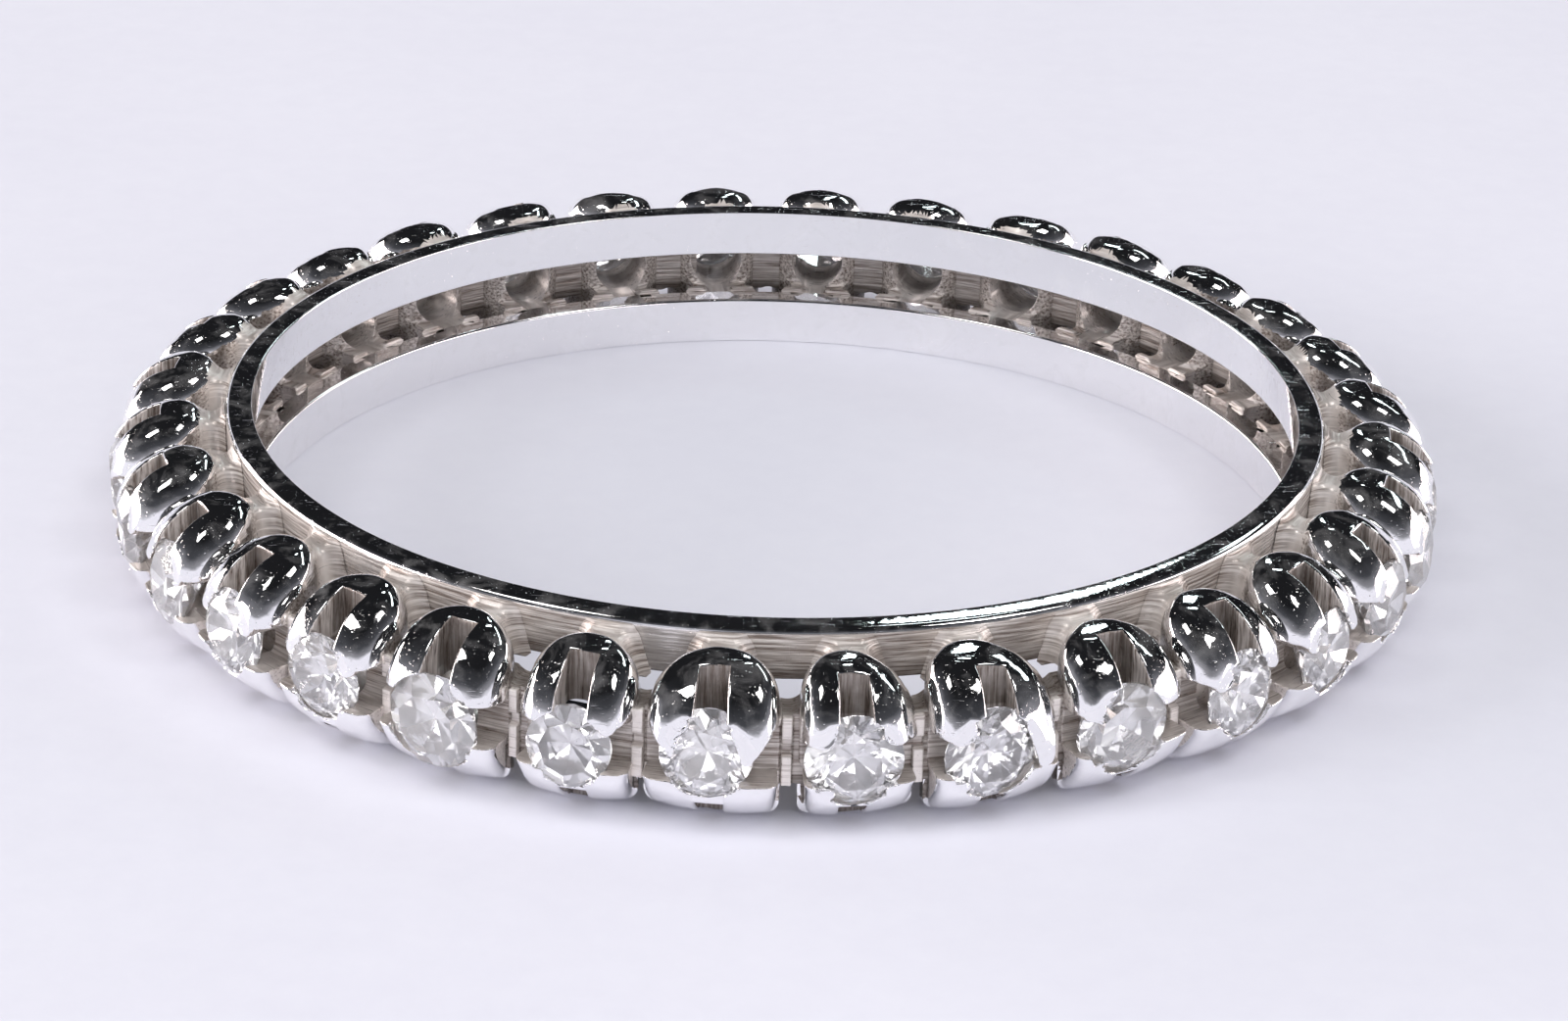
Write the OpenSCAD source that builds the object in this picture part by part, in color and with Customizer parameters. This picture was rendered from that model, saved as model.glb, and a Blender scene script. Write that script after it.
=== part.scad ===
// Full eternity ring: a half-round band of white gold cut into collets,
// each with four claws round one small round stone. The ring lies on its
// side: the finger hole runs along Z and the lower rim rests on Z = 0.
// All sizes are in millimetres.

/* [Band] */
// Inside diameter of the finger hole
finger_hole_d = 17; // [16:0.1:19]
// Width of the band along the finger
band_w = 2.5; // [2.3:0.05:2.8]
// Thickness from the finger hole to the tips of the claws
band_t = 2.4; // [2.3:0.05:2.5]

/* [Rails] */
// Radial thickness of the two inner rails
rail_t = 0.43; // [0.35:0.01:0.5]
// Height of the open gallery slot between the rails
gallery_h = 0.88; // [0.7:0.02:1.0]
// Edge radius of the rails
rail_r = 0.12; // [0.08:0.01:0.16]

/* [Collets] */
// Gap between neighbouring collets
collet_gap = 0.32; // [0.25:0.01:0.4]
// Distance from the finger hole to the arched inner end of a collet
arch_offset = 0.8; // [0.7:0.05:1.0]
// Width of the axial slot between the claws
claw_slot = 0.42; // [0.3:0.02:0.5]
// Depth of the axial slot below the outer face
claw_slot_depth = 0.8; // [0.7:0.05:0.95]
// Width of the cross cut that runs round the ring
cross_cut = 0.6; // [0.4:0.02:0.7]
// Depth of the cross cut below the outer face
cross_cut_depth = 0.72; // [0.6:0.02:0.75]

/* [Web] */
// Radial thickness of the bar between neighbouring collets
web_t = 0.55; // [0.4:0.05:0.6]
// Height of that bar along the finger
web_h = 1.25; // [1.1:0.05:1.4]
// Thickness of the thin fin in the middle of the bar
fin_t = 0.16; // [0.12:0.01:0.2]

/* [Stones] */
// Diameter of a stone of the middle size
stone_d = 1.34; // [1.24:0.02:1.36]
// Diameter of the hole under each stone
seat_hole_d = 0.92; // [0.7:0.02:0.96]
// How far a claw tip reaches over the edge of its stone
claw_reach = 0.09; // [0.05:0.01:0.12]
// Clearance between a stone and its seat
seat_gap = 0.02; // [0.01:0.005:0.03]

/* [Hidden] */
NODES = ["setting",
  "stone_01", "stone_02", "stone_03", "stone_04", "stone_05", "stone_06", "stone_07", "stone_08",
  "stone_09", "stone_10", "stone_11", "stone_12", "stone_13", "stone_14", "stone_15", "stone_16",
  "stone_17", "stone_18", "stone_19", "stone_20", "stone_21", "stone_22", "stone_23", "stone_24",
  "stone_25", "stone_26", "stone_27", "stone_28", "stone_29", "stone_30", "stone_31", "stone_32"];
$fn = 96;

stones = len(NODES) - 1;
pitch = 360 / stones;
first_angle = -94;            // the first stone faces the front of the ring
ri = finger_hole_d / 2;
ro = ri + band_t;
mid = band_w / 2;
rail_h = (band_w - gallery_h) / 2;
round_r = band_w / 2;         // radius of the half-round outer face
round_c = ro - round_r;       // its centre
arch_r0 = ri + arch_offset;   // inner end of a collet
cut = 1;                      // how far cutting tools run past a face

// half width of a collet at a radius: what the gap leaves of the pitch
function half_w(r) = r * tan(pitch / 2) - collet_gap / 2;
arch_rad = (arch_r0 * tan(pitch / 2) - collet_gap / 2) / (1 - tan(pitch / 2));
arch_c = arch_r0 + arch_rad;

// stone proportions as fractions of its diameter, and the size of each
// stone against the middle size, repeated round the ring
table_f = 0.58;
crown_f = 0.15;
pavilion_f = 0.42;
girdle_h = 0.03;
girdle_r = ro - 0.28;         // radius of the girdle's lower edge
size_step = [0.02, 0.06, 0.01, 0, -0.02, -0.03, 0.06, -0.07];
function size_of(i) = stone_d + size_step[i % len(size_step)];

// ---- helpers -----------------------------------------------------------

module at_stone(i) rotate([0, 0, first_angle + i * pitch]) children();
module at_gap(i) rotate([0, 0, first_angle + (i + 0.5) * pitch]) children();

// turns a shape built along Z so that it points out of the ring,
// with its zero at the girdle of a stone
module on_axis() translate([girdle_r, 0, mid]) rotate([0, 90, 0]) children();

// half-round section of the band, from the arches out
module band_section() {
  translate([arch_r0 - 0.1, 0]) square([round_c - arch_r0 + 0.1, band_w]);
  intersection() {
    translate([round_c, mid]) circle(r = round_r);
    translate([round_c, 0]) square([round_r + cut, band_w]);
  }
}

// outline of one collet seen along the finger: arched inner end,
// sides that widen outward so that the gap stays even
module collet_outline() {
  translate([arch_c, 0]) circle(r = arch_rad);
  polygon([[arch_c, -arch_rad], [ro + cut, -half_w(ro + cut)],
           [ro + cut, half_w(ro + cut)], [arch_c, arch_rad]]);
}

// section of a rail whose outer edges are rounded; z0 is its plain edge
module rail_section() {
  translate([ri, 0]) square([rail_t, rail_h - rail_r]);
  translate([ri + rail_r, 0]) square([rail_t - 2 * rail_r, rail_h]);
  for (x = [rail_r, rail_t - rail_r])
    translate([ri + x, rail_h - rail_r]) circle(r = rail_r);
}

// ---- parts of the setting ------------------------------------------------

module rails() {
  translate([0, 0, band_w - rail_h]) rotate_extrude() rail_section();
  translate([0, 0, rail_h]) mirror([0, 0, 1]) rotate_extrude() rail_section();
}

// neck between a collet and a rail, narrow on top with sloped sides
module neck_section() {
  polygon([[-0.46, 0], [0.46, 0], [0.22, rail_h - 0.17], [-0.22, rail_h - 0.17]]);
}
module necks() {
  for (i = [0 : stones - 1]) at_stone(i) for (s = [0, 1])
    translate([ri + rail_t / 2, 0, mid]) mirror([0, 0, s])
      translate([0, 0, gallery_h / 2]) rotate([90, 0, 90])
        linear_extrude(arch_offset - rail_t / 2 + 0.25) neck_section();
}

module webs() {
  web_r = ro - cross_cut_depth - 0.03;
  translate([0, 0, mid - web_h / 2]) difference() {
    cylinder(r = web_r, h = web_h);
    translate([0, 0, -cut]) cylinder(r = web_r - web_t, h = web_h + 2 * cut);
  }
  for (i = [0 : stones - 1]) at_gap(i)
    translate([web_r - 0.2, -fin_t / 2, mid - web_h / 2]) cube([0.3, fin_t, web_h]);
}

module collets() {
  intersection() {
    rotate_extrude() band_section();
    for (i = [0 : stones - 1]) at_stone(i)
      translate([0, 0, -cut]) linear_extrude(band_w + 2 * cut) collet_outline();
  }
}

module claw_slots() {
  for (i = [0 : stones - 1]) at_stone(i)
    translate([ro - claw_slot_depth, -claw_slot / 2, -cut])
      cube([claw_slot_depth + cut, claw_slot, band_w + 2 * cut]);
}

module cross_cut_ring() {
  translate([0, 0, mid - cross_cut / 2]) difference() {
    cylinder(r = ro + cut, h = cross_cut);
    translate([0, 0, -cut]) cylinder(r = ro - cross_cut_depth, h = cross_cut + 2 * cut);
  }
}

// seat for a stone: hole, pavilion cone, girdle and the undercut
// that leaves the claw tips over the stone's edge
module seat(d) {
  r = d / 2 + seat_gap;
  rh = seat_hole_d / 2;
  tip = d / 2 - claw_reach;
  low = (r - rh) * tan(40);
  rise = (r - tip) * tan(35);
  on_axis() rotate_extrude() polygon([
    [0, arch_r0 - 0.05 - girdle_r], [rh, arch_r0 - 0.05 - girdle_r],
    [rh, -seat_gap - low], [r, -seat_gap], [r, girdle_h + seat_gap],
    [tip, girdle_h + seat_gap + rise], [tip, cut], [0, cut]]);
}

module setting() {
  color([0.80, 0.79, 0.78]) {
    rails();
    difference() {
      union() { collets(); webs(); necks(); }
      claw_slots();
      cross_cut_ring();
      for (i = [0 : stones - 1]) at_stone(i) seat(size_of(i));
    }
  }
}

// ---- stones ----------------------------------------------------------------

// One round brilliant with its girdle's lower edge at Z = 0 and its table up.
// Rings of points: table, star points, girdle top, girdle bottom, lower
// girdle points, culet. Kite points lie in the plane of their main facet.
function ring_at(n, r, z, turn) =
  [for (k = [0 : n - 1]) [r * cos((k + turn) * 360 / n), r * sin((k + turn) * 360 / n), z]];

module brilliant(d) {
  r = d / 2;
  rt = r * table_f;
  hc = crown_f * d;
  hp = pavilion_f * d;
  c = cos(22.5);
  rs = rt + 0.45 * (r - rt);
  rl = r * 0.28;
  zs = girdle_h + hc * (r - rs * c) / (r - rt);
  zl = -hp * (r - rl * c) / r;
  pts = concat(
    ring_at(8, rt, girdle_h + hc, 0),      // 0..7 table
    ring_at(8, rs, zs, 0.5),               // 8..15 star points
    ring_at(16, r, girdle_h, 0),           // 16..31 girdle top
    ring_at(16, r, 0, 0),                  // 32..47 girdle bottom
    ring_at(8, rl, zl, 0.5),               // 48..55 lower girdle points
    [[0, 0, -hp]]);                        // 56 culet
  faces = concat(
    [[for (k = [7 : -1 : 0]) k]],
    [for (k = [0 : 7]) [k, (k + 1) % 8, 8 + k]],
    [for (k = [0 : 7]) [k, 8 + k, 16 + 2 * k, 8 + (k + 7) % 8]],
    [for (k = [0 : 7]) [8 + k, 17 + 2 * k, 16 + 2 * k]],
    [for (k = [0 : 7]) [8 + k, 16 + (2 * k + 2) % 16, 17 + 2 * k]],
    [for (k = [0 : 15]) [16 + k, 16 + (k + 1) % 16, 32 + (k + 1) % 16, 32 + k]],
    [for (k = [0 : 7]) [48 + k, 32 + 2 * k, 33 + 2 * k]],
    [for (k = [0 : 7]) [48 + k, 33 + 2 * k, 32 + (2 * k + 2) % 16]],
    [for (k = [0 : 7]) [56, 48 + (k + 7) % 8, 32 + 2 * k, 48 + k]]);
  polyhedron(points = pts, faces = faces, convexity = 2);
}

// The stone's own Z axis points out of the ring
module stone(i) color([0.93, 0.95, 0.97, 0.8]) at_stone(i) on_axis() brilliant(size_of(i));

setting();
stone(0);  // stone_01
stone(1);  // stone_02
stone(2);  // stone_03
stone(3);  // stone_04
stone(4);  // stone_05
stone(5);  // stone_06
stone(6);  // stone_07
stone(7);  // stone_08
stone(8);  // stone_09
stone(9);  // stone_10
stone(10);  // stone_11
stone(11);  // stone_12
stone(12);  // stone_13
stone(13);  // stone_14
stone(14);  // stone_15
stone(15);  // stone_16
stone(16);  // stone_17
stone(17);  // stone_18
stone(18);  // stone_19
stone(19);  // stone_20
stone(20);  // stone_21
stone(21);  // stone_22
stone(22);  // stone_23
stone(23);  // stone_24
stone(24);  // stone_25
stone(25);  // stone_26
stone(26);  // stone_27
stone(27);  // stone_28
stone(28);  // stone_29
stone(29);  // stone_30
stone(30);  // stone_31
stone(31);  // stone_32
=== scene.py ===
import math

import bmesh
import bpy
import numpy as np
from mathutils import Matrix, Vector


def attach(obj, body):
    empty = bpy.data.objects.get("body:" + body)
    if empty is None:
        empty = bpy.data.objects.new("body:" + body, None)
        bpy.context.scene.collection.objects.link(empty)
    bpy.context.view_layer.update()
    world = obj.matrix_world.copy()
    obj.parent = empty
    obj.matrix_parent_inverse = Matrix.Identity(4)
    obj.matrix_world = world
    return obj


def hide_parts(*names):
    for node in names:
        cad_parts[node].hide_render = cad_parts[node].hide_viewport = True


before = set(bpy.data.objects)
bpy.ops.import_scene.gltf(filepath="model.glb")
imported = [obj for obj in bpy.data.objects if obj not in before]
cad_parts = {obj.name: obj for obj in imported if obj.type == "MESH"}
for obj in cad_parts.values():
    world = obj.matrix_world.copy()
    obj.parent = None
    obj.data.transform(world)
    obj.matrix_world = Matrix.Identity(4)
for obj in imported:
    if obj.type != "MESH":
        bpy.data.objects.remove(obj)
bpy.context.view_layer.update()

# ---------------------------------------------------------------------------
# Sizes in millimetres. The ring's axis is Z, its lower rim lies on Z = 0, and
# w is the height above the middle of the band.
# ---------------------------------------------------------------------------
W = 2.5               # band width
MID = W / 2
RI = 8.5              # finger hole
RO = 10.9             # claws' outer face
RC = 9.65             # centre of the half-round face
RAIL_T = 0.43
GALLERY = 0.88
HALF = math.radians(5.625)
PITCH = 2 * HALF
FIRST = math.radians(-94)
GIRDLE = 10.62        # lower edge of a stone's girdle
GIRDLE_H = 0.035
N = 32
VOX = 0.024


# ---------------------------------------------------------------------------
# Distance fields: rounded joins and cuts
# ---------------------------------------------------------------------------
def both(a, b, r):
    """Intersection whose edge has radius r."""
    return np.minimum(np.maximum(a, b), -r) + np.hypot(np.maximum(a + r, 0), np.maximum(b + r, 0))


def join(a, b, r):
    """Union whose inner corner has radius r."""
    return -both(-a, -b, r)


def less(a, b, r):
    """a without b, with an edge of radius r."""
    return both(a, -b, r)


def smooth(a, b, x):
    t = np.clip((x - a) / (b - a), 0, 1)
    return t * t * (3 - 2 * t)


def capsule(y, w, y0, w0, y1, w1, r0, r1):
    """A tapered bar seen in the plane that touches the ring at a stone."""
    dy, dw = y1 - y0, w1 - w0
    t = np.clip(((y - y0) * dy + (w - w0) * dw) / max(dy * dy + dw * dw, 1e-9), 0, 1)
    return np.hypot(y - y0 - t * dy, w - w0 - t * dw) - (r0 + t * (r1 - r0))


def wobble(x, y, w, seed, size, amount):
    """A slow unevenness, as of hand finishing."""
    p = np.random.default_rng(seed).uniform(0, 6.28, (3, 3))
    k = 6.283 / size
    s = 0
    for n, f in enumerate((1.0, 1.73, 2.6)):
        s = s + np.sin(k * f * x + p[n, 0]) * np.sin(k * f * y + p[n, 1]) * np.sin(k * f * w + p[n, 2]) / (1 + n)
    return amount * s


# One row for each collet: offset round the ring, half width, inner end of the
# arch and its lean, camber, radius of the slot's floor, slot shift, upper and
# lower ends of the claws at the cross cut and how the upper end climbs to the
# flanks, stone diameter, its shift sideways and upward, its lift, how far the
# seat's rim reaches over it, the turn of its facets, tilt sideways and upward
# in degrees, cut, and the claw tips as bars (from y, w, to y, w, two radii).
COLUMNS = ("off", "half", "arch", "lean", "camber", "floor", "slot", "up", "low", "climb", "d", "sy", "sw", "lift", "reach", "turn", "tilt_y", "tilt_w", "cut", "tips")
ROWS = {
    0: (0.0, 1.0, 9.25, -0.06, 0.24, 10.02, 0.0, 0.30, 0.38, 0.16, 1.37, -0.05, 0.01, -0.075, 0.05, 8, 3, -4, "full",
        ((-0.62, 0.45, -0.55, 0.06, 0.33, 0.05), (0.60, 0.42, 0.55, 0.07, 0.30, 0.10), (-0.64, -0.56, -0.56, -0.50, 0.14, 0.10), (0.60, -0.56, 0.50, -0.50, 0.14, 0.09))),
    1: (0.10, 0.855, 9.27, -0.02, 0.24, 10.12, -0.09, 0.24, 0.36, 0.02, 1.45, -0.095, -0.05, -0.07, 0.04, 20, -2, 3, "full",
        ((-0.62, 0.50, -0.62, 0.46, 0.26, 0.23), (0.56, 0.50, 0.52, 0.44, 0.28, 0.22), (-0.54, -0.56, -0.48, -0.52, 0.14, 0.10), (0.54, -0.54, 0.46, -0.50, 0.14, 0.10))),
    2: (0.06, 0.94, 9.18, -0.045, 0.20, 10.14, -0.01, 0.22, 0.32, 0.06, 1.45, -0.11, -0.07, -0.05, 0.05, 3, 4, 2, "full",
        ((-0.68, 0.46, -0.64, 0.42, 0.28, 0.23), (0.64, 0.34, 0.70, -0.22, 0.26, 0.13), (-0.62, -0.56, -0.54, -0.52, 0.14, 0.09), (0.62, -0.54, 0.58, -0.46, 0.14, 0.09))),
    3: (0.17, 0.96, 9.23, 0.07, 0.20, 9.89, -0.03, 0.26, 0.30, 0.04, 1.45, -0.19, -0.02, -0.02, 0.03, 14, -5, 3, "single",
        ((-0.72, 0.52, -0.60, 0.45, 0.30, 0.26), (0.60, 0.54, 0.54, 0.52, 0.22, 0.22), (-0.60, -0.56, -0.54, -0.52, 0.12, 0.08), (0.62, -0.54, 0.56, -0.50, 0.12, 0.08))),
    31: (0.06, 0.84, 9.25, -0.03, 0.22, 10.02, 0.0, 0.30, 0.38, 0.04, 1.27, -0.045, -0.08, 0.0, 0.03, 12, 2, -3, "single",
         ((-0.60, 0.60, -0.60, 0.60, 0.14, 0.14), (0.56, 0.45, 0.57, 0.36, 0.20, 0.13), (-0.52, -0.58, -0.46, -0.54, 0.12, 0.08), (0.54, -0.56, 0.48, -0.52, 0.12, 0.08))),
    30: (-0.01, 0.96, 9.215, -0.10, 0.22, 9.85, 0.02, 0.30, 0.32, -0.02, 1.49, -0.03, -0.11, 0.03, 0.0, 4, -3, 2, "single",
         ((-0.60, 0.62, -0.58, 0.62, 0.14, 0.14), (0.52, 0.56, 0.48, 0.56, 0.20, 0.18), (-0.62, -0.60, -0.56, -0.58, 0.10, 0.07), (0.62, -0.60, 0.60, -0.56, 0.12, 0.08))),
    29: (0.0, 0.88, 9.20, 0.0, 0.24, 9.98, 0.03, 0.28, 0.34, 0.06, 1.36, -0.02, 0.0, 0.0, 0.04, 18, 3, 2, "full",
         ((-0.58, 0.46, -0.54, 0.38, 0.22, 0.16), (0.60, 0.46, 0.56, 0.36, 0.22, 0.16), (-0.58, -0.54, -0.48, -0.46, 0.14, 0.08), (0.58, -0.54, 0.48, -0.46, 0.14, 0.08))),
}
# how far beside the middle the crest of a collet's arch lies
PEAK = {0: 0.22, 1: -0.28, 2: -0.33, 3: -0.24, 31: -0.06, 30: 0.0, 100: 0.05, 102: -0.1, 104: 0.1}
# what the other collets draw from in turn
SPARE = (
    (0.0, 0.89, 9.22, 0.02, 0.24, 9.98, 0.02, 0.28, 0.34, 0.08, 1.36, 0.0, -0.02, 0.0, 0.05, 10, 3, 2, "full",
     ((-0.58, 0.46, -0.53, 0.32, 0.24, 0.16), (0.60, 0.46, 0.54, 0.36, 0.24, 0.17), (-0.60, -0.54, -0.52, -0.48, 0.14, 0.08), (0.58, -0.54, 0.52, -0.46, 0.14, 0.09))),
    (0.02, 0.86, 9.24, -0.02, 0.24, 10.04, 0.0, 0.26, 0.34, 0.04, 1.34, 0.02, -0.01, 0.0, 0.04, 2, -3, -3, "single",
     ((-0.55, 0.46, -0.50, 0.38, 0.22, 0.18), (0.56, 0.46, 0.54, 0.30, 0.24, 0.14), (-0.58, -0.54, -0.50, -0.48, 0.14, 0.09), (0.56, -0.54, 0.50, -0.46, 0.14, 0.08))),
    (-0.02, 0.92, 9.20, 0.04, 0.22, 9.92, 0.03, 0.28, 0.34, 0.08, 1.38, -0.02, -0.03, 0.0, 0.05, 16, 2, -2, "full",
     ((-0.62, 0.50, -0.56, 0.40, 0.27, 0.20), (0.62, 0.50, 0.56, 0.44, 0.22, 0.18), (-0.64, -0.56, -0.56, -0.48, 0.14, 0.09), (0.62, -0.54, 0.54, -0.50, 0.14, 0.08))),
    (0.03, 0.88, 9.22, 0.02, 0.24, 10.08, -0.02, 0.26, 0.32, 0.04, 1.34, 0.0, 0.0, 0.0, 0.04, 21, -2, 4, "single",
     ((-0.58, 0.46, -0.52, 0.40, 0.22, 0.18), (0.58, 0.46, 0.56, 0.34, 0.22, 0.16), (-0.58, -0.54, -0.52, -0.48, 0.14, 0.09), (0.60, -0.54, 0.54, -0.46, 0.14, 0.08))),
    (-0.03, 0.90, 9.21, -0.03, 0.24, 10.0, 0.0, 0.27, 0.34, 0.06, 1.36, 0.01, -0.02, 0.0, 0.05, 6, 3, -3, "full",
     ((-0.60, 0.46, -0.52, 0.34, 0.24, 0.16), (0.60, 0.48, 0.56, 0.30, 0.24, 0.15), (-0.62, -0.54, -0.50, -0.48, 0.14, 0.09), (0.62, -0.54, 0.52, -0.48, 0.14, 0.09))),
)


# collets that stand a little beside their even spacing
BESIDE = {4: 0.17, 5: 0.13, 6: 0.10, 7: 0.05, 8: 0.03}


def row(i):
    c = dict(zip(COLUMNS, ROWS.get(i) or SPARE[(i * 3) % len(SPARE)]), seed=i if i in ROWS else 100 + (i * 3) % len(SPARE))
    c["off"] += BESIDE.get(i, 0.0)
    return c


# ---------------------------------------------------------------------------
# One collet: x points out of the ring through the stone, y along the ring
# ---------------------------------------------------------------------------
def parts_of(x, y, w, c):
    """The distance fields that a collet is made of."""
    r = np.hypot(x, y)
    R, aw = c["half"], np.abs(w)
    yy = y - c["lean"] * smooth(10.2, 9.2, x)
    ay = np.abs(yy)
    crest = np.clip(np.abs(yy - PEAK.get(c["seed"], 0.0)), 0, 1.15 * R)
    # half-round section that falls away towards the flanks
    bow = 0.09 + smooth(-0.2, 0.4, w) * (c["camber"] - 0.09) * (0.6 + 0.4 * smooth(10.6, 9.9, x))
    fall = bow * (crest / R) ** 2
    prof = np.where(r > RC, np.hypot(r - RC, w) - MID, aw - MID) + fall
    xc = c["arch"] + R
    ca, sa = math.cos(HALF), math.sin(HALF)
    tuck = (0.05 + (0.05 if c["seed"] == 1 else 0.0)) * smooth(-0.22, -0.5, w)
    side = ca * ay - sa * (x - xc) - R + tuck
    outline = np.where((x - xc) * ca + ay * sa < 0, np.hypot(x - xc, yy) - R, side)
    lip = 0.67 * smooth(-0.92, -0.74, w)
    floor = np.where(w > 0, c["floor"], 9.99 + lip)
    slot = np.maximum(np.abs(y - c["slot"]) - np.where(w > 0, 0.215, 0.185) - 0.03 * smooth(1.1, 0.6, aw), floor - x)
    cut = np.maximum(np.maximum(w - c["up"] - c["climb"] * yy * yy, -w - c["low"]), 10.17 - r)
    rho = np.hypot(y - c["sy"], w - c["sw"])
    rs = c["d"] / 2 + 0.012
    X = x - GIRDLE - c["lift"] + 0.04
    hole = np.maximum(rho - 0.46, x - GIRDLE - 0.1)
    cone = (-0.015 - (rs - rho) * math.tan(math.radians(40.5)) - X) * 0.76
    bearing = np.maximum(rho - rs, cone)
    crown = np.maximum(bearing, (X - GIRDLE_H - 0.012 - (rs - rho) * 0.72) * 0.81)
    tipr = c["d"] / 2 - c["reach"]
    well = np.maximum(rho - tipr, cone)
    nib = 9.0
    for y0, w0, y1, w1, e0, e1 in c["tips"]:
        nib = np.minimum(nib, capsule(y, w, y0, w0, y1, w1, e0, e1))
    return dict(r=r, prof=prof, outline=outline, slot=slot, cut=cut, hole=hole, crown=crown, well=well, nib=nib, aw=aw, X=X, rho=rho)


def shell(x, y, w, c, p):
    """The outside of a collet before it is cut."""
    # the tips are pressed down on to the stone
    bent = 0.05 * smooth(0.09, -0.07, p["nib"]) * smooth(c["d"] / 2 + 0.08, c["d"] / 2 - 0.16, p["rho"])
    rnd = 0.17 + 0.19 * smooth(-0.30, 0.30, w)
    body = both(p["prof"] + bent, p["outline"], rnd)
    body = body + 0.009 + wobble(x, y, w, c["seed"], 0.9, 0.0045)
    # the side of the ring was polished on a flat wheel
    return both(body, w - 1.207, 0.03)


def collet(x, y, w, c):
    p = parts_of(x, y, w, c)
    body = shell(x, y, w, c, p)
    # neck to the rails, above and below
    aw, nib = p["aw"], p["nib"]
    hw = 0.25 + 0.28 * np.clip((1.08 - aw) / 0.80, 0, 1)
    nw = 0.03 * math.sin(3.1 * c["seed"])
    top = 1.035 + 0.02 * math.sin(1.7 * c["seed"])
    neck = both((np.abs(y - nw) - hw) * 0.965, aw - top, 0.10)
    neck = np.maximum(neck, GALLERY / 2 - aw)
    neck = np.maximum(neck, p["r"] - 9.95)
    neck = np.maximum(neck, 8.80 - p["r"])
    f = join(body, neck, 0.12)
    skirt = join(neck, np.maximum(p["r"] - 8.927, GALLERY / 2 - aw), 0.26)
    skirt = np.maximum(np.maximum(skirt, 8.9285 - p["r"]), np.maximum(p["r"] - 9.22, aw - 1.17))
    f = np.minimum(f, skirt)
    f = less(f, p["slot"], 0.045)
    f = less(f, np.maximum(p["cut"], -nib), 0.035)
    f = less(f, p["hole"], 0.02)
    f = less(f, np.maximum(p["well"], -nib), 0.022)
    return np.maximum(f, -p["crown"])


def collet_finish(x, y, w, c):
    """0 polished, 0.35 satin, 1 left from the cutter along the ring's axis, 3 left from it round the ring, 2 filed, 0.6 sawn."""
    p = parts_of(x, y, w, c)
    slot = (p["slot"] < 0.012) & ((w > -0.5) | (p["r"] < 10.15))
    cross = np.maximum(p["cut"], -p["nib"]) < 0.012
    seat = (np.maximum(p["well"], -p["nib"]) < 0.01) | (p["hole"] < 0.01) | (p["crown"] < 0.01)
    filed = (p["r"] < 9.5) | ((p["outline"] > -0.02) & (p["prof"] < -0.16)) | ((x < c["arch"] + 0.35) & (p["prof"] < -0.14))
    neck = (p["r"] < 9.35) & (p["aw"] > 0.5)
    # the lower claws' ledges get code 0.43: satin, and the shader paints shade on them
    ledge = cross & (w < -0.2) & (p["r"] > 10.19)
    return np.where(neck, 0.35, np.where(ledge, 0.43, np.where(slot & (p["r"] < 10.6), 1.0, np.where(cross & (p["r"] < 10.3), 3.0, np.where(seat, np.where(p["X"] > 0.03, 0.05, 0.35), np.where(slot | cross, 0.6, np.where(filed & (p["outline"] > -0.05), 2.0, 0.0)))))))


# ---------------------------------------------------------------------------
# The bar between two collets, with its fin
# ---------------------------------------------------------------------------
def bar(x, y, w, c):
    r = np.hypot(x, y)
    u = w + 0.035
    web = both(both(r - 10.15, 9.60 - r, 0.03), np.abs(u) - 0.61, 0.03)
    lines = np.sin(w * 47 + 3 * c + 0.5 * np.sin(7 * y + c)) + 0.6 * np.sin(w * 83 + 1.7 * c)
    web = web + 0.002 * lines * smooth(10.0, 10.1, r)
    t = 0.078 + 0.01 * math.sin(2.2 * c)
    # the cutter also ran across the fin
    low = 0.10 * smooth(0.12, 0.06, np.abs(w + 0.03 - 0.02 * c))
    shape = np.abs(y - 0.02 * math.sin(c * 1.3)) - t
    fin = both(both(shape, r - 10.27 - 0.02 * math.sin(c) + low, 0.02), np.maximum(np.abs(u) - 0.60, 10.0 - r), 0.03)
    f = join(web, fin, 0.03)
    f = less(f, np.hypot(y, w + 0.83) - 0.22, 0.02)
    f = less(f, np.hypot(y, w - 0.72) - 0.24, 0.03)
    return np.maximum(f, np.abs(y) - 0.50)


def bar_finish(x, y, w, c):
    r = np.hypot(x, y)
    return np.where(r > 10.2, 2.0, 3.0)


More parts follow.
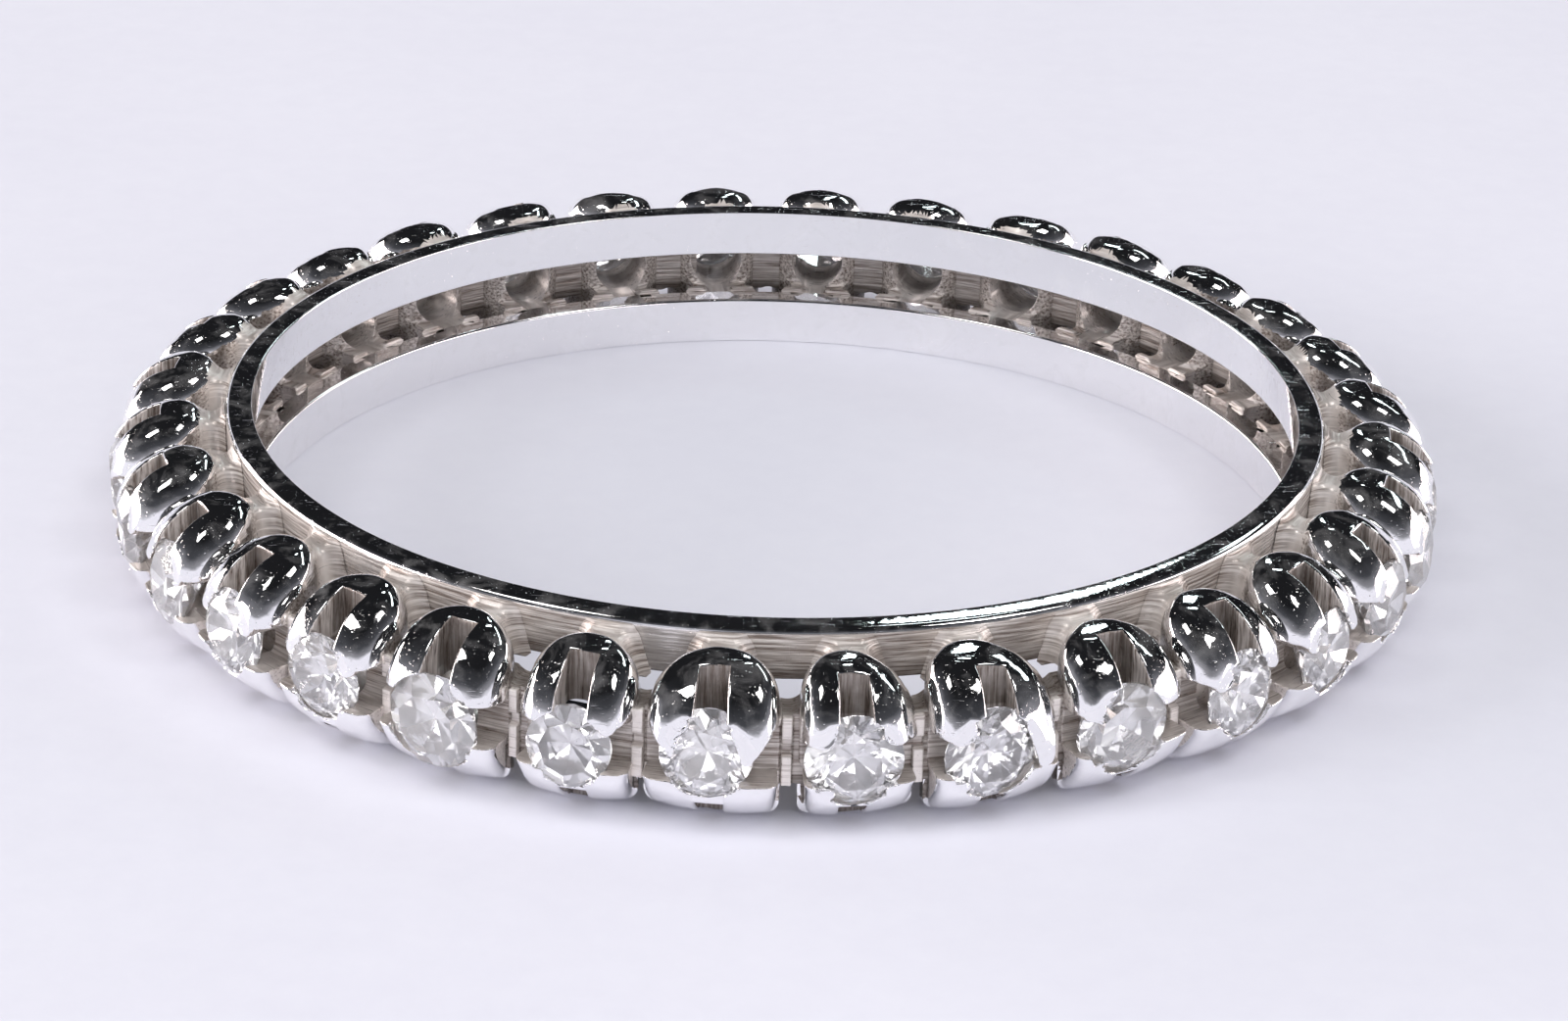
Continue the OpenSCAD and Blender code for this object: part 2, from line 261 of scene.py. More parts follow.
# ---------------------------------------------------------------------------
# Field to mesh
# ---------------------------------------------------------------------------
def surface(F, origin, h):
    """Quads on the zero level of F, with one point in each cell that it crosses."""
    n = np.array(F.shape)
    m = n - 1
    inside = F < 0
    total = int(m.prod())
    acc = np.zeros((3, total))
    cnt = np.zeros(total)
    quads = []
    for ax in range(3):
        a, b = [slice(None)] * 3, [slice(None)] * 3
        a[ax], b[ax] = slice(0, -1), slice(1, None)
        a, b = tuple(a), tuple(b)
        e = np.argwhere(inside[a] != inside[b])
        u, v = (ax + 1) % 3, (ax + 2) % 3
        e = e[(e[:, u] > 0) & (e[:, u] < n[u] - 1) & (e[:, v] > 0) & (e[:, v] < n[v] - 1)]
        k = tuple(e.T)
        f0, f1 = F[a][k], F[b][k]
        p = e.astype(float)
        p[:, ax] += f0 / (f0 - f1)
        ids = []
        for du, dv in ((-1, -1), (0, -1), (0, 0), (-1, 0)):
            c = e.copy()
            c[:, u] += du
            c[:, v] += dv
            i = (c[:, 0] * m[1] + c[:, 1]) * m[2] + c[:, 2]
            ids.append(i)
            cnt += np.bincount(i, minlength=total)
            for d in range(3):
                acc[d] += np.bincount(i, weights=p[:, d], minlength=total)
        q = np.stack(ids, 1)
        out = inside[a][k]
        q[~out] = q[~out][:, ::-1]
        quads.append(q)
    quads = np.concatenate(quads)
    used, flat = np.unique(quads, return_inverse=True)
    points = (acc[:, used] / cnt[used]).T * h + origin
    return points, flat.reshape(-1, 4)


def whole(points, quads, share=0.03):
    """Leaves out the crumbs: keeps each part, joined over plain edges, that has its share of the faces."""
    ends = np.sort(np.stack([quads, np.roll(quads, -1, 1)], 2).reshape(-1, 2), 1).astype(np.int64)
    key = ends[:, 0] * len(points) + ends[:, 1]
    order = np.argsort(key, kind="stable")
    face = order // 4
    ids, start, count = np.unique(key[order], return_index=True, return_counts=True)
    pair = start[count == 2]
    a, b = face[pair], face[pair + 1]
    label = np.arange(len(quads))
    while True:
        low = np.minimum(label[a], label[b])
        new = label.copy()
        np.minimum.at(new, a, low)
        np.minimum.at(new, b, low)
        new = new[new]
        new = new[new]
        if (new == label).all():
            break
        label = new
    ids, part, count = np.unique(label, return_inverse=True, return_counts=True)
    keep = count[part] > share * len(quads)
    used, flat = np.unique(quads[keep], return_inverse=True)
    return points[used], flat.reshape(-1, 4)


def raw_mesh(name, points, polys):
    me = bpy.data.meshes.new(name)
    k = polys.shape[1]
    me.vertices.add(len(points))
    me.vertices.foreach_set("co", np.ascontiguousarray(points, np.float32).ravel())
    me.loops.add(len(polys) * k)
    me.loops.foreach_set("vertex_index", polys.astype(np.int32).ravel())
    me.polygons.add(len(polys))
    me.polygons.foreach_set("loop_start", np.arange(0, len(polys) * k, k, dtype=np.int32))
    me.update(calc_edges=True)
    return me


def slope(fn, p, e=0.004):
    g = np.zeros_like(p)
    for d in range(3):
        q = p.copy()
        q[:, d] += e
        hi = fn(q[:, 0], q[:, 1], q[:, 2])
        q[:, d] -= 2 * e
        g[:, d] = (hi - fn(q[:, 0], q[:, 1], q[:, 2])) / (2 * e)
    return g


def settle(fn, p, steps, most=0.02):
    """Moves points on to the surface."""
    for _ in range(steps):
        g = slope(fn, p)
        f = fn(p[:, 0], p[:, 1], p[:, 2])
        move = (f / np.maximum((g * g).sum(1), 0.25))[:, None] * g
        size = np.linalg.norm(move, axis=1, keepdims=True)
        p = p - move * np.minimum(1, most / np.maximum(size, 1e-9))
    return p


def carve(fn, low, high, vox, triangles, name):
    """Points, triangles and point normals of the solid where fn is below 0."""
    low, high = np.array(low, float), np.array(high, float)
    n = np.ceil((high - low) / vox).astype(int) + 1
    ax = [low[d] + vox * np.arange(n[d]) for d in range(3)]
    F = fn(ax[0][:, None, None], ax[1][None, :, None], ax[2][None, None, :])
    F = np.where(np.abs(F) < 1e-7, 1e-7, F)
    points, quads = whole(*surface(F, low, vox))
    points = settle(fn, points, 1, vox * 0.5)
    me = raw_mesh(name, points, quads)
    ob = bpy.data.objects.new(name, me)
    bpy.context.scene.collection.objects.link(ob)
    mod = ob.modifiers.new("thin", "DECIMATE")
    mod.ratio = min(1.0, triangles / (2 * len(quads)))
    mod.use_collapse_triangulate = True
    done = ob.evaluated_get(bpy.context.evaluated_depsgraph_get()).to_mesh()
    v = np.zeros(len(done.vertices) * 3, np.float32)
    done.vertices.foreach_get("co", v)
    done.calc_loop_triangles()
    t = np.zeros(len(done.loop_triangles) * 3, np.int32)
    done.loop_triangles.foreach_get("vertices", t)
    v, t = v.reshape(-1, 3).astype(float), t.reshape(-1, 3)
    ob.evaluated_get(bpy.context.evaluated_depsgraph_get()).to_mesh_clear()
    bpy.data.objects.remove(ob)
    bpy.data.meshes.remove(me)
    v = settle(fn, v, 2, vox * 0.4)
    g = slope(fn, v, 0.006)
    g /= np.maximum(np.linalg.norm(g, axis=1, keepdims=True), 1e-9)
    return v, t, g


def corner_normals(v, t, g, limit=0.80):
    """Smooth normals, except where a face turns away from its point's normal at a crisp edge."""
    a, b, c = v[t[:, 0]], v[t[:, 1]], v[t[:, 2]]
    nf = np.cross(b - a, c - a)
    nf /= np.maximum(np.linalg.norm(nf, axis=1, keepdims=True), 1e-12)
    cn = g[t]
    dots = (cn * nf[:, None, :]).sum(2)
    return np.where((dots > limit)[:, :, None], cn, nf[:, None, :])


def spin(p, angle):
    c, s = math.cos(angle), math.sin(angle)
    return p @ np.array([[c, s, 0], [-s, c, 0], [0, 0, 1.0]])


def piece(name, v, t, normals, material, finish=None, stands_for="setting"):
    """A finished piece in metres that rides on the one body. v is in mm with w for its height."""
    v = v.copy()
    v[:, 2] += MID
    me = raw_mesh(name, v * 0.001, t)
    me.polygons.foreach_set("use_smooth", np.ones(len(t), bool))
    if normals is not None:
        me.normals_split_custom_set(normals.reshape(-1, 3).tolist())
    if finish is not None:
        at = me.attributes.new("finish", "FLOAT", "FACE")
        at.data.foreach_set("value", finish.astype(np.float32))
    me.materials.append(material)
    ob = bpy.data.objects.new(name, me)
    bpy.context.scene.collection.objects.link(ob)
    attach(ob, "root")
    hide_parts(stands_for)
    return ob


# ---------------------------------------------------------------------------
# Materials
# ---------------------------------------------------------------------------
class Nodes:
    """Short ways to place and join shader nodes."""

    def __init__(self, tree):
        self.tree = tree
        tree.nodes.clear()

    def add(self, kind, inputs=None, **props):
        n = self.tree.nodes.new(kind)
        for k, v in props.items():
            setattr(n, k, v)
        for k, v in (inputs or {}).items():
            if isinstance(v, bpy.types.NodeSocket):
                self.tree.links.new(v, n.inputs[k])
            else:
                n.inputs[k].default_value = v
        return n

    def math(self, op, a, b=0.0, c=0.0, clamp=False):
        return self.add("ShaderNodeMath", {0: a, 1: b, 2: c}, operation=op, use_clamp=clamp).outputs[0]

    def span(self, v, a, b, c=0.0, d=1.0):
        return self.add("ShaderNodeMapRange", {"Value": v, "From Min": a, "From Max": b, "To Min": c, "To Max": d}).outputs[0]

    def mix(self, f, a, b):
        n = self.add("ShaderNodeMix", {0: f}, data_type="RGBA")
        for k, v in ((6, a), (7, b)):
            if isinstance(v, bpy.types.NodeSocket):
                self.tree.links.new(v, n.inputs[k])
            else:
                n.inputs[k].default_value = v
        return n.outputs[2]

    def noise(self, vector, scale, detail=2.0, rough=0.5, distort=0.0):
        return self.add("ShaderNodeTexNoise", {"Vector": vector, "Scale": scale, "Detail": detail, "Roughness": rough, "Distortion": distort}).outputs[0]


def ring_coordinates(n):
    """Position in mm: as it is, and unrolled into arc length, radius and height."""
    pos = n.add("ShaderNodeTexCoord").outputs["Object"]
    mm = n.add("ShaderNodeVectorMath", {0: pos, 1: (1000, 1000, 1000)}, operation="MULTIPLY").outputs[0]
    s = n.add("ShaderNodeSeparateXYZ", {0: mm})
    angle = n.math("ARCTAN2", s.outputs[1], s.outputs[0])
    arc = n.math("MULTIPLY", angle, 10.3)
    r = n.math("SQRT", n.math("ADD", n.math("MULTIPLY", s.outputs[0], s.outputs[0]), n.math("MULTIPLY", s.outputs[1], s.outputs[1])))
    return mm, arc, r, s.outputs[2]


def gold_material(name, rail=False):
    m = bpy.data.materials.new(name)
    m.use_nodes = True
    n = Nodes(m.node_tree)
    mm, arc, r, z = ring_coordinates(n)
    # near the rails the lines depend on height alone
    rl = n.math("ADD", n.math("MAXIMUM", n.math("SUBTRACT", r, 9.3), 0.0), RI + RAIL_T)
    along = n.add("ShaderNodeCombineXYZ", {0: n.math("MULTIPLY", arc, 0.9), 1: n.math("MULTIPLY", rl, 26), 2: n.math("MULTIPLY", z, 26)}).outputs[0]
    across = n.add("ShaderNodeCombineXYZ", {0: n.math("MULTIPLY", arc, 24), 1: n.math("MULTIPLY", r, 24), 2: n.math("MULTIPLY", z, 1.3)}).outputs[0]
    if rail:
        # the rail's outward face is left from the cutter, the rest is polished
        raw = n.math("MULTIPLY", n.span(r, RI + RAIL_T - 0.012, RI + RAIL_T - 0.004), n.span(n.math("ABSOLUTE", n.math("SUBTRACT", z, MID)), MID - 0.055, MID - 0.085))
        cutter, filed = raw, raw
        satin = n.math("MULTIPLY", raw, 0)
    else:
        fin = n.add("ShaderNodeAttribute", attribute_name="finish").outputs["Fac"]
        raw = n.math("GREATER_THAN", fin, 0.2)
        # smooth parts take on the rails' lines where they meet them
        satin = n.math("MULTIPLY", n.math("LESS_THAN", n.math("ABSOLUTE", n.math("SUBTRACT", fin, 0.35)), 0.1), n.span(r, 8.97, 9.20))
        cutter = n.math("LESS_THAN", n.math("ABSOLUTE", n.math("SUBTRACT", fin, 1.0)), 0.5)
        filed = n.math("MULTIPLY", n.math("LESS_THAN", n.math("ABSOLUTE", n.math("SUBTRACT", fin, 2.0)), 0.5), n.span(r, 10.19, 10.23))
    lines_a = n.noise(along, 1.0, 3, 0.6)
    lines_b = n.noise(across, 1.0, 3, 0.6)
    cloud = n.noise(mm, 2.2, 3, 0.55)
    grit = n.noise(mm, 30, 2, 0.6)
    # hairlines: thin ridges in two stretched noises at different angles
    turned = n.add("ShaderNodeMapping", {"Vector": mm, "Rotation": (0.5, 0.9, 0.7), "Scale": (34, 34, 2.2)}).outputs[0]
    turned2 = n.add("ShaderNodeMapping", {"Vector": mm, "Rotation": (1.3, 0.2, 2.1), "Scale": (2.0, 30, 30)}).outputs[0]
    hair = n.math("MAXIMUM", n.span(n.noise(turned, 1.0, 1), 0.71, 0.77), n.span(n.noise(turned2, 1.0, 1), 0.71, 0.77))
    pit = n.add("ShaderNodeTexVoronoi", {"Vector": mm, "Scale": 7.0, "Randomness": 1.0})
    pits = n.span(pit.outputs["Distance"], 0.10, 0.0)
    lines = n.mix(cutter, lines_a, lines_b) if not rail else lines_a
    # colour: the polished plate is neutral, cut faces are warmer and duller
    bright = (0.96, 0.953, 0.953, 1)
    warm = (0.30, 0.25, 0.22, 1)
    warm2 = (0.84, 0.79, 0.75, 1)
    if not rail:
        lines = n.math("ADD", lines, n.math("MULTIPLY", filed, 0.14))
    rawcol = n.mix(n.math("MAXIMUM", n.span(lines, 0.38, 0.62), n.math("MULTIPLY", satin, n.span(cloud, 0.35, 0.65, 0.42, 0.95))), warm, warm2)
    # painted shade, with some tarnish, in the hollows: a dark brown laid on the bars, on the lower claws' ledges, and
    # low on the rails' outward faces
    h = n.math("ABSOLUTE", n.math("SUBTRACT", z, MID))
    if rail:
        shade_and_tarnish = n.math("MULTIPLY", n.span(h, 0.78, 0.46), n.span(r, RI + 0.3, RI + 0.4))
    else:
        shade_and_tarnish = n.math("MULTIPLY", n.span(r, 10.21, 10.05), n.span(r, 9.5, 9.75))
        shade_and_tarnish = n.math("MAXIMUM", shade_and_tarnish, n.math("MULTIPLY", n.span(h, 0.44, 0.50), n.math("MULTIPLY", n.span(r, 10.22, 10.16), n.span(r, 9.4, 9.5))))
        # the ledges under the stones get half of this painted shade
        ledge = n.math("LESS_THAN", n.math("ABSOLUTE", n.math("SUBTRACT", fin, 0.43)), 0.02)
        shade_and_tarnish = n.math("MAXIMUM", shade_and_tarnish, n.math("MULTIPLY", ledge, 0.5))
    shade_and_tarnish = n.math("MULTIPLY", shade_and_tarnish, n.span(n.noise(mm, 3.5, 3, 0.6), 0.25, 0.6, 0.75, 1.0))
    # the painted shade and tarnish pull the cut faces' colour towards dark brown
    rawcol = n.mix(n.math("MULTIPLY", shade_and_tarnish, 0.75), rawcol, (0.07, 0.053, 0.042, 1))
    col = n.mix(raw, bright, rawcol)
    col = n.mix(n.math("MULTIPLY", n.span(grit, 0.66, 0.8), n.math("MULTIPLY", n.math("SUBTRACT", raw, satin), 0.6)), col, (0.16, 0.12, 0.10, 1))
    speck = n.add("ShaderNodeTexVoronoi", {"Vector": mm, "Scale": 16.0, "Randomness": 1.0})
    specks = n.math("MULTIPLY", n.span(speck.outputs["Distance"], 0.17, 0.12), n.math("GREATER_THAN", n.noise(speck.outputs["Position"], 1.3, 1), 0.63))
    rough_p = n.math("ADD", n.span(cloud, 0.35, 0.7, 0.02, 0.06), n.math("MULTIPLY", n.math("MAXIMUM", n.math("MULTIPLY", hair, 0.5), specks), 0.16))
    rough_r = n.span(lines, 0.3, 0.7, 0.24, 0.42)
    rough = n.add("ShaderNodeMix", {0: raw, 2: rough_p, 3: rough_r}, data_type="FLOAT").outputs[0]
    # a faint film on the polish, and cut faces whose fine lines scatter light
    film = n.span(n.noise(mm, 1.9, 4, 0.62, 0.6), 0.50, 0.72, 0.004, 0.09)
    metal = n.add("ShaderNodeMix", {0: raw, 2: n.math("SUBTRACT", 1.0, film), 3: 0.50}, data_type="FLOAT").outputs[0]
    height = n.math("ADD", n.math("MULTIPLY", n.math("MULTIPLY", lines, raw), n.math("SUBTRACT", 0.016, n.math("MULTIPLY", satin, 0.015))), n.math("MULTIPLY", hair, -0.0010))
    height = n.math("SUBTRACT", height, n.math("MULTIPLY", pits, 0.004))
    height = n.math("ADD", height, n.math("MULTIPLY", n.noise(mm, 9, 2, 0.5), 0.0012))
    bump = n.add("ShaderNodeBump", {"Height": height, "Strength": 1.0, "Distance": 0.001})
    b = n.add("ShaderNodeBsdfPrincipled", {"Base Color": col, "Metallic": metal, "Roughness": rough, "Normal": bump.outputs[0]})
    n.add("ShaderNodeOutputMaterial", {"Surface": b.outputs[0]})
    return m


def stone_material():
    m = bpy.data.materials.new("diamond")
    m.use_nodes = True
    n = Nodes(m.node_tree)
    pos = n.add("ShaderNodeTexCoord").outputs["Object"]
    mm = n.add("ShaderNodeVectorMath", {0: pos, 1: (1000, 1000, 1000)}, operation="MULTIPLY").outputs[0]
    cloud = n.noise(mm, 3.0, 4, 0.6)
    spots = n.noise(mm, 14.0, 2, 0.6)
    # painted reflections: a random value per facet makes some facets lighter and milkier and others darker and clearer,
    # standing in for light turned back inside the stone
    painted_facet_light = n.add("ShaderNodeAttribute", attribute_name="painted_facet_light").outputs["Fac"]
    col = n.mix(n.span(cloud, 0.35, 0.7), (1.0, 1.0, 1.0, 1), (0.98, 0.975, 0.97, 1))
    col = n.mix(painted_facet_light, (0.86, 0.855, 0.87, 1), col)
    rough = n.span(spots, 0.55, 0.75, 0.0, 0.05)
    bump = n.add("ShaderNodeBump", {"Height": n.math("MULTIPLY", spots, 0.0006), "Strength": 1.0, "Distance": 0.001})
    glass = n.add("ShaderNodeBsdfPrincipled", {"Base Color": col, "Roughness": rough, "IOR": 2.417, "Transmission Weight": n.span(n.math("ADD", painted_facet_light, n.span(cloud, 0.3, 0.7, -0.2, 0.2)), 0.2, 1.0, 0.97, 0.79), "Normal": bump.outputs[0]})
    n.add("ShaderNodeOutputMaterial", {"Surface": glass.outputs[0]})
    return m


def paper_material():
    m = bpy.data.materials.new("paper")
    m.use_nodes = True
    n = Nodes(m.node_tree)
    pos = n.add("ShaderNodeTexCoord").outputs["Object"]
    mm = n.add("ShaderNodeVectorMath", {0: pos, 1: (1000, 1000, 1000)}, operation="MULTIPLY").outputs[0]
    a = n.noise(mm, 1.6, 4, 0.6)
    b = n.noise(mm, 0.12, 2, 0.5)
    col = n.mix(n.span(n.math("ADD", n.math("MULTIPLY", a, 0.5), n.math("MULTIPLY", b, 0.5)), 0.35, 0.65), (0.655, 0.661, 0.733, 1), (0.681, 0.688, 0.756, 1))
    bump = n.add("ShaderNodeBump", {"Height": n.math("MULTIPLY", a, 0.012), "Strength": 0.6, "Distance": 0.001})
    s = n.add("ShaderNodeBsdfPrincipled", {"Base Color": col, "Roughness": 0.75, "Normal": bump.outputs[0]})
    n.add("ShaderNodeOutputMaterial", {"Surface": s.outputs[0]})
    return m


GOLD = gold_material("white_gold")
GOLD_RAIL = gold_material("white_gold_rail", rail=True)
DIAMOND = stone_material()


# ---------------------------------------------------------------------------
# Rails: rounded rings, turned about the axis
# ---------------------------------------------------------------------------
def rail_profile(n_arc=6):
    """Closed section of the upper rail (r, w, normal r, normal w), counter-clockwise."""
    r0, r1, w0, w1 = RI, RI + RAIL_T, GALLERY / 2, MID
    out = []
    for cx, cy, rad, a0, a1 in ((r1, w1, 0.11, 0, 87), (r0, w1, 0.025, 92, 180), (r0, w0, 0.05, 180, 270), (r1, w0, 0.03, 270, 360)):
        sx = -1 if cx == r1 else 1
        sy = -1 if cy == w1 else 1
        for k in range(n_arc + 1):
            a = math.radians(a0 + (a1 - a0) * k / n_arc)
            out.append((cx + sx * rad + rad * math.cos(a), cy + sy * rad + rad * math.sin(a), math.cos(a), math.sin(a)))
    return np.array(out)


def rail(name, flip):
    sec = rail_profile()
    if flip:
        sec = sec[::-1] * np.array([1, -1, 1, -1])
    seg, k = 512, len(sec)
    th = np.arange(seg) * 2 * math.pi / seg
    uneven = 0.004 * np.sin(3 * th + flip) + 0.0025 * np.sin(7 * th + 1.3) + 0.0015 * np.sin(17 * th)
    c, s = np.cos(th)[:, None], np.sin(th)[:, None]
    inner = (sec[:, 0] < RI + 0.2)[None, :]
    rr = sec[None, :, 0] + np.where(inner, 0.3, -1.0) * np.abs(uneven[:, None])
    v = np.stack([rr * c, rr * s, np.broadcast_to(sec[None, :, 1], rr.shape)], 2).reshape(-1, 3)
    g = np.stack([sec[None, :, 2] * c, sec[None, :, 2] * s, np.broadcast_to(sec[None, :, 3], rr.shape)], 2).reshape(-1, 3)
    i, j = np.meshgrid(np.arange(seg), np.arange(k), indexing="ij")
    i2, j2 = (i + 1) % seg, (j + 1) % k
    q = np.stack([i * k + j, i2 * k + j, i2 * k + j2, i * k + j2], 2).reshape(-1, 4)
    t = np.concatenate([q[:, [0, 1, 2]], q[:, [0, 2, 3]]])
    a, b, d = v[t[:, 0]], v[t[:, 1]], v[t[:, 2]]
    if ((np.cross(b - a, d - a)) * g[t[:, 0]]).sum() < 0:
        t = t[:, ::-1]
    return piece(name, v, t, g[t], GOLD_RAIL)


rail("rail_upper", 0)
rail("rail_lower", 1)

# ---------------------------------------------------------------------------
# Collets
# ---------------------------------------------------------------------------
cache = {}
TRI = 11000
for i in range(N):
    c = row(i)
    if c["seed"] not in cache:
        fn = lambda x, y, w, c=c: collet(x, y, w, c)
        v, t, g = carve(fn, (8.76, -1.10, -1.29), (10.96, 1.10, 1.29), VOX, TRI, "collet")
        mid = v[t].mean(1)
        fin = collet_finish(mid[:, 0], mid[:, 1], mid[:, 2], c)
        cache[c["seed"]] = (v, t, corner_normals(v, t, g), fin)
    v, t, cn, fin = cache[c["seed"]]
    angle = FIRST + i * PITCH + c["off"] / 10.4
    piece("collet_%02d" % (i + 1), spin(v, angle), t, spin(cn.reshape(-1, 3), angle).reshape(cn.shape), GOLD, fin)

# bars between the collets, joined in one mesh
made = []
for k in range(4):
    fn = lambda x, y, w, k=k: bar(x, y, w, k)
    v, t, g = carve(fn, (9.45, -0.58, -0.78), (10.45, 0.58, 0.72), VOX * 1.1, 2000, "bar")
    mid = v[t].mean(1)
    made.append((v, t, corner_normals(v, t, g), bar_finish(mid[:, 0], mid[:, 1], mid[:, 2], k)))
vs, ts, ns, fs, base = [], [], [], [], 0
for i in range(N):
    v, t, cn, fin = made[(i * 7) % 4]
    ca, cb = row(i), row((i + 1) % N)
    middle = (ca["off"] + ca["half"] + cb["off"] - cb["half"]) / 2 - 0.05
    angle = FIRST + (i + 0.5) * PITCH + middle / 10.3
    vs.append(spin(v, angle))
    ts.append(t + base)
    ns.append(spin(cn.reshape(-1, 3), angle).reshape(cn.shape))
    fs.append(fin)
    base += len(v)
piece("gallery_bars", np.concatenate(vs), np.concatenate(ts), np.concatenate(ns), GOLD, np.concatenate(fs))


# ---------------------------------------------------------------------------
# Stones: a round blank cut by the planes of its facets
# ---------------------------------------------------------------------------
def facets(d, cut, rng):
    """Planes (normal, point) of a stone with its girdle's lower edge at 0."""
    R = d / 2
    out = []
    jit = lambda a: a + math.radians(rng.uniform(-0.5, 0.5))
    table = 0.60 if cut == "single" else 0.57
    h = GIRDLE_H + 0.135 * d
    rt = R * table
    crown = math.atan2(h - GIRDLE_H, R - rt)
    pav = math.radians(40.2)

    def plane(az, tilt, px, py, pz):
        n = (math.sin(tilt) * math.cos(az), math.sin(tilt) * math.sin(az), math.cos(tilt))
        out.append((n, (px, py, pz)))

    out.append(((0, 0, 1), (0, 0, h)))
    for k in range(8):
        az = k * math.pi / 4 + math.radians(rng.uniform(-1.5, 1.5))
        c, s = math.cos(az), math.sin(az)
        plane(az, jit(crown), R * c, R * s, GIRDLE_H)
        plane(az, math.pi - jit(pav), R * c, R * s, 0)
        if cut == "full":
            for e in (-1, 1):
                a2 = az + e * math.pi / 16
                plane(a2, crown + math.radians(6), R * c, R * s, GIRDLE_H)
                plane(a2, math.pi - pav - math.radians(1.8), R * c, R * s, 0)
            a3 = az + math.pi / 8
            plane(a3, crown * 0.58, rt * c, rt * s, h)
    return out


def stone(i, c):
    rng = np.random.default_rng(50 + i)
    d = c["d"]
    bm = bmesh.new()
    bmesh.ops.create_cone(bm, cap_ends=True, segments=40, radius1=d / 2, radius2=d / 2, depth=2.0)
    for nrm, pt in facets(d, c["cut"], rng):
        res = bmesh.ops.bisect_plane(bm, geom=bm.verts[:] + bm.edges[:] + bm.faces[:], plane_co=pt, plane_no=nrm, clear_outer=True, dist=1e-6)
        edges = [e for e in res["geom_cut"] if isinstance(e, bmesh.types.BMEdge)]
        if len(edges) > 2:
            bmesh.ops.contextual_create(bm, geom=edges)
    bmesh.ops.remove_doubles(bm, verts=bm.verts[:], dist=1e-5)
    bmesh.ops.recalc_face_normals(bm, faces=bm.faces[:])
    # stone axes: its Z points out of the ring
    m = Matrix.Rotation(FIRST + i * PITCH + c["off"] / 10.4, 4, "Z")
    m = m @ Matrix.Translation((GIRDLE - 0.04 + c["lift"], c["sy"], c["sw"] + MID))
    m = m @ Matrix.Rotation(math.radians(c["tilt_y"]), 4, "Z") @ Matrix.Rotation(math.radians(c["tilt_w"]), 4, "Y")
    m = m @ Matrix.Rotation(math.pi / 2, 4, "Y") @ Matrix.Rotation(math.radians(c["turn"] + 7 * (i % 5)), 4, "Z")
    bm.transform(Matrix.Scale(0.001, 4) @ m)
    me = bpy.data.meshes.new("diamond_%02d" % (i + 1))
    bm.to_mesh(me)
    bm.free()
    # one random value per facet, used by the stone's shader for painted reflections
    painted_facet_light = me.attributes.new("painted_facet_light", "FLOAT", "FACE")
    painted_facet_light.data.foreach_set("value", rng.uniform(0.0, 1.0, len(me.polygons)) ** 0.6)
    me.materials.append(DIAMOND)
    ob = bpy.data.objects.new(me.name, me)
    bpy.context.scene.collection.objects.link(ob)
    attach(ob, "root")
    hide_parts("stone_%02d" % (i + 1))


for i in range(N):
    stone(i, row(i))

# ---------------------------------------------------------------------------
# Floor, light, camera
# ---------------------------------------------------------------------------
bpy.ops.mesh.primitive_plane_add(size=3.0, location=(0, 0, 0))
floor = bpy.context.object
floor.name = "floor"
floor.data.materials.append(paper_material())

world = bpy.data.worlds.new("studio")
bpy.context.scene.world = world
world.use_nodes = True
n = Nodes(world.node_tree)
toward = n.add("ShaderNodeSeparateXYZ", {0: n.add("ShaderNodeTexCoord").outputs["Generated"]})
back, up = toward.outputs[1], toward.outputs[2]
dark = (0.006, 0.0065, 0.008, 1)
# behind the ring the pale table ends low, in front of it the room fades upward
far = n.mix(n.span(up, 0.16, 0.08), dark, (0.86, 0.85, 0.95, 1))
near = n.mix(n.span(up, 0.86, 0.52), dark, (0.055, 0.057, 0.066, 1))
near = n.mix(n.span(up, 0.52, 0.30), near, (0.26, 0.26, 0.29, 1))
near = n.mix(n.span(up, 0.30, 0.20), near, (0.86, 0.85, 0.95, 1))
sky = n.mix(n.span(back, -0.10, 0.50), near, far)
bg = n.add("ShaderNodeBackground", {"Color": sky, "Strength": 1.0})
n.add("ShaderNodeOutputWorld", {"Surface": bg.outputs[0]})


def lamp(name, az, el, dist, size, power, color, aim=(0, 0, 0.001)):
    """A soft box: az turns from the far side (+Y) towards +X, el is its height, in degrees."""
    a, e = math.radians(az), math.radians(el)
    at = Vector((dist * math.cos(e) * math.sin(a), dist * math.cos(e) * math.cos(a), dist * math.sin(e)))
    data = bpy.data.lights.new(name, "AREA")
    data.shape = "RECTANGLE"
    data.size, data.size_y = size
    data.energy = power
    data.color = color
    ob = bpy.data.objects.new(name, data)
    ob.location = at
    ob.rotation_euler = (Vector(aim) - at).to_track_quat("-Z", "Y").to_euler()
    ob.visible_camera = False
    bpy.context.scene.collection.objects.link(ob)
    return ob


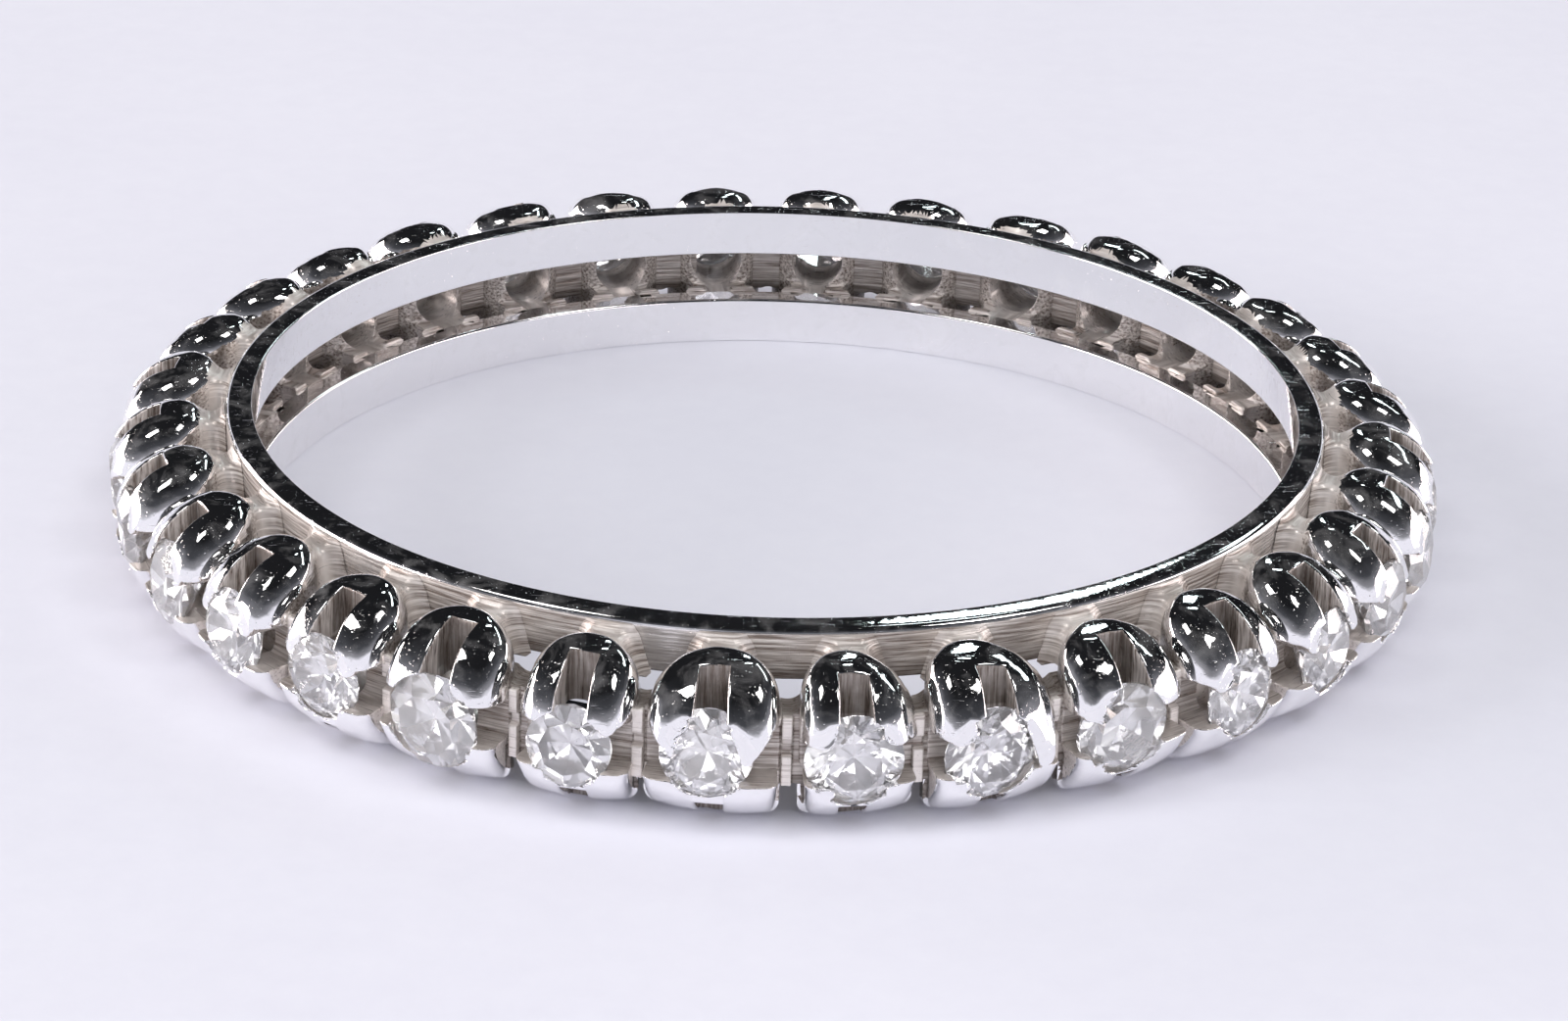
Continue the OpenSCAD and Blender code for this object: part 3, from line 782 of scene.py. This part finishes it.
lamp("softbox_left", -80, 9, 0.40, (0.48, 0.13), 1.7, (1.0, 0.90, 0.88))
lamp("softbox_right", 80, 9, 0.40, (0.48, 0.13), 0.8, (1.0, 0.90, 0.89))
lamp("softbox_back", 4.2, 27.6, 0.40, (0.028, 0.034), 0.027, (0.84, 0.97, 1.0))
lamp("softbox_back_high", 9, 47, 0.40, (0.035, 0.028), 0.022, (0.88, 0.98, 1.0))
lamp("softbox_back_right", 42, 37, 0.40, (0.22, 0.034), 0.085, (0.86, 0.98, 1.0))
lamp("softbox_top_right", 108, 60, 0.40, (0.11, 0.10), 0.20, (1.0, 0.98, 0.98))
lamp("softbox_top_left", -108, 60, 0.40, (0.11, 0.10), 0.20, (1.0, 0.98, 0.98))
# the room's own light: it reaches matt things and stones, but is too dim to mirror in the metal
for side, az, el, size, power in (("left", -112, 26, 0.22, 1.35), ("right", 150, 48, 0.5, 1.1), ("top", 180, 74, 0.5, 1.5), ("front", 180, 22, 0.34, 0.95)):
    lamp("room_" + side, az, el, 0.60, (size, size), power, (1.0, 0.985, 1.0)).visible_glossy = False

# camera: the photograph's direction, distance, tilt and length of lens
cam_data = bpy.data.cameras.new("camera")
cam_data.sensor_width = 36.0
cam_data.lens = 4591.7 / 1600 * 36.0
cam_data.clip_start = 0.001
cam = bpy.data.objects.new("camera", cam_data)
bpy.context.scene.collection.objects.link(cam)
elev, roll, dist = math.radians(24.035), math.radians(-1.766), 0.07534
turn = math.radians(-0.16)
base = Vector((0.000189, 0.000925, 0))
ex = Vector((1, 0, 0))
ey = Vector((0, math.sin(elev), math.cos(elev)))
ez = Vector((0, -math.cos(elev), math.sin(elev)))
right = ex * math.cos(roll) - ey * math.sin(roll)
upv = ex * math.sin(roll) + ey * math.cos(roll)
rot = Matrix((right, upv, ez)).transposed()
spin_z = Matrix.Rotation(-turn, 3, "Z")
cam.matrix_world = Matrix.Translation(spin_z @ (base + ez * dist)) @ (spin_z @ rot).to_4x4()
bpy.context.scene.camera = cam
bpy.context.scene.view_settings.view_transform = "Standard"
bpy.context.scene.cycles.glossy_bounces = 10  # light turns many times inside a stone
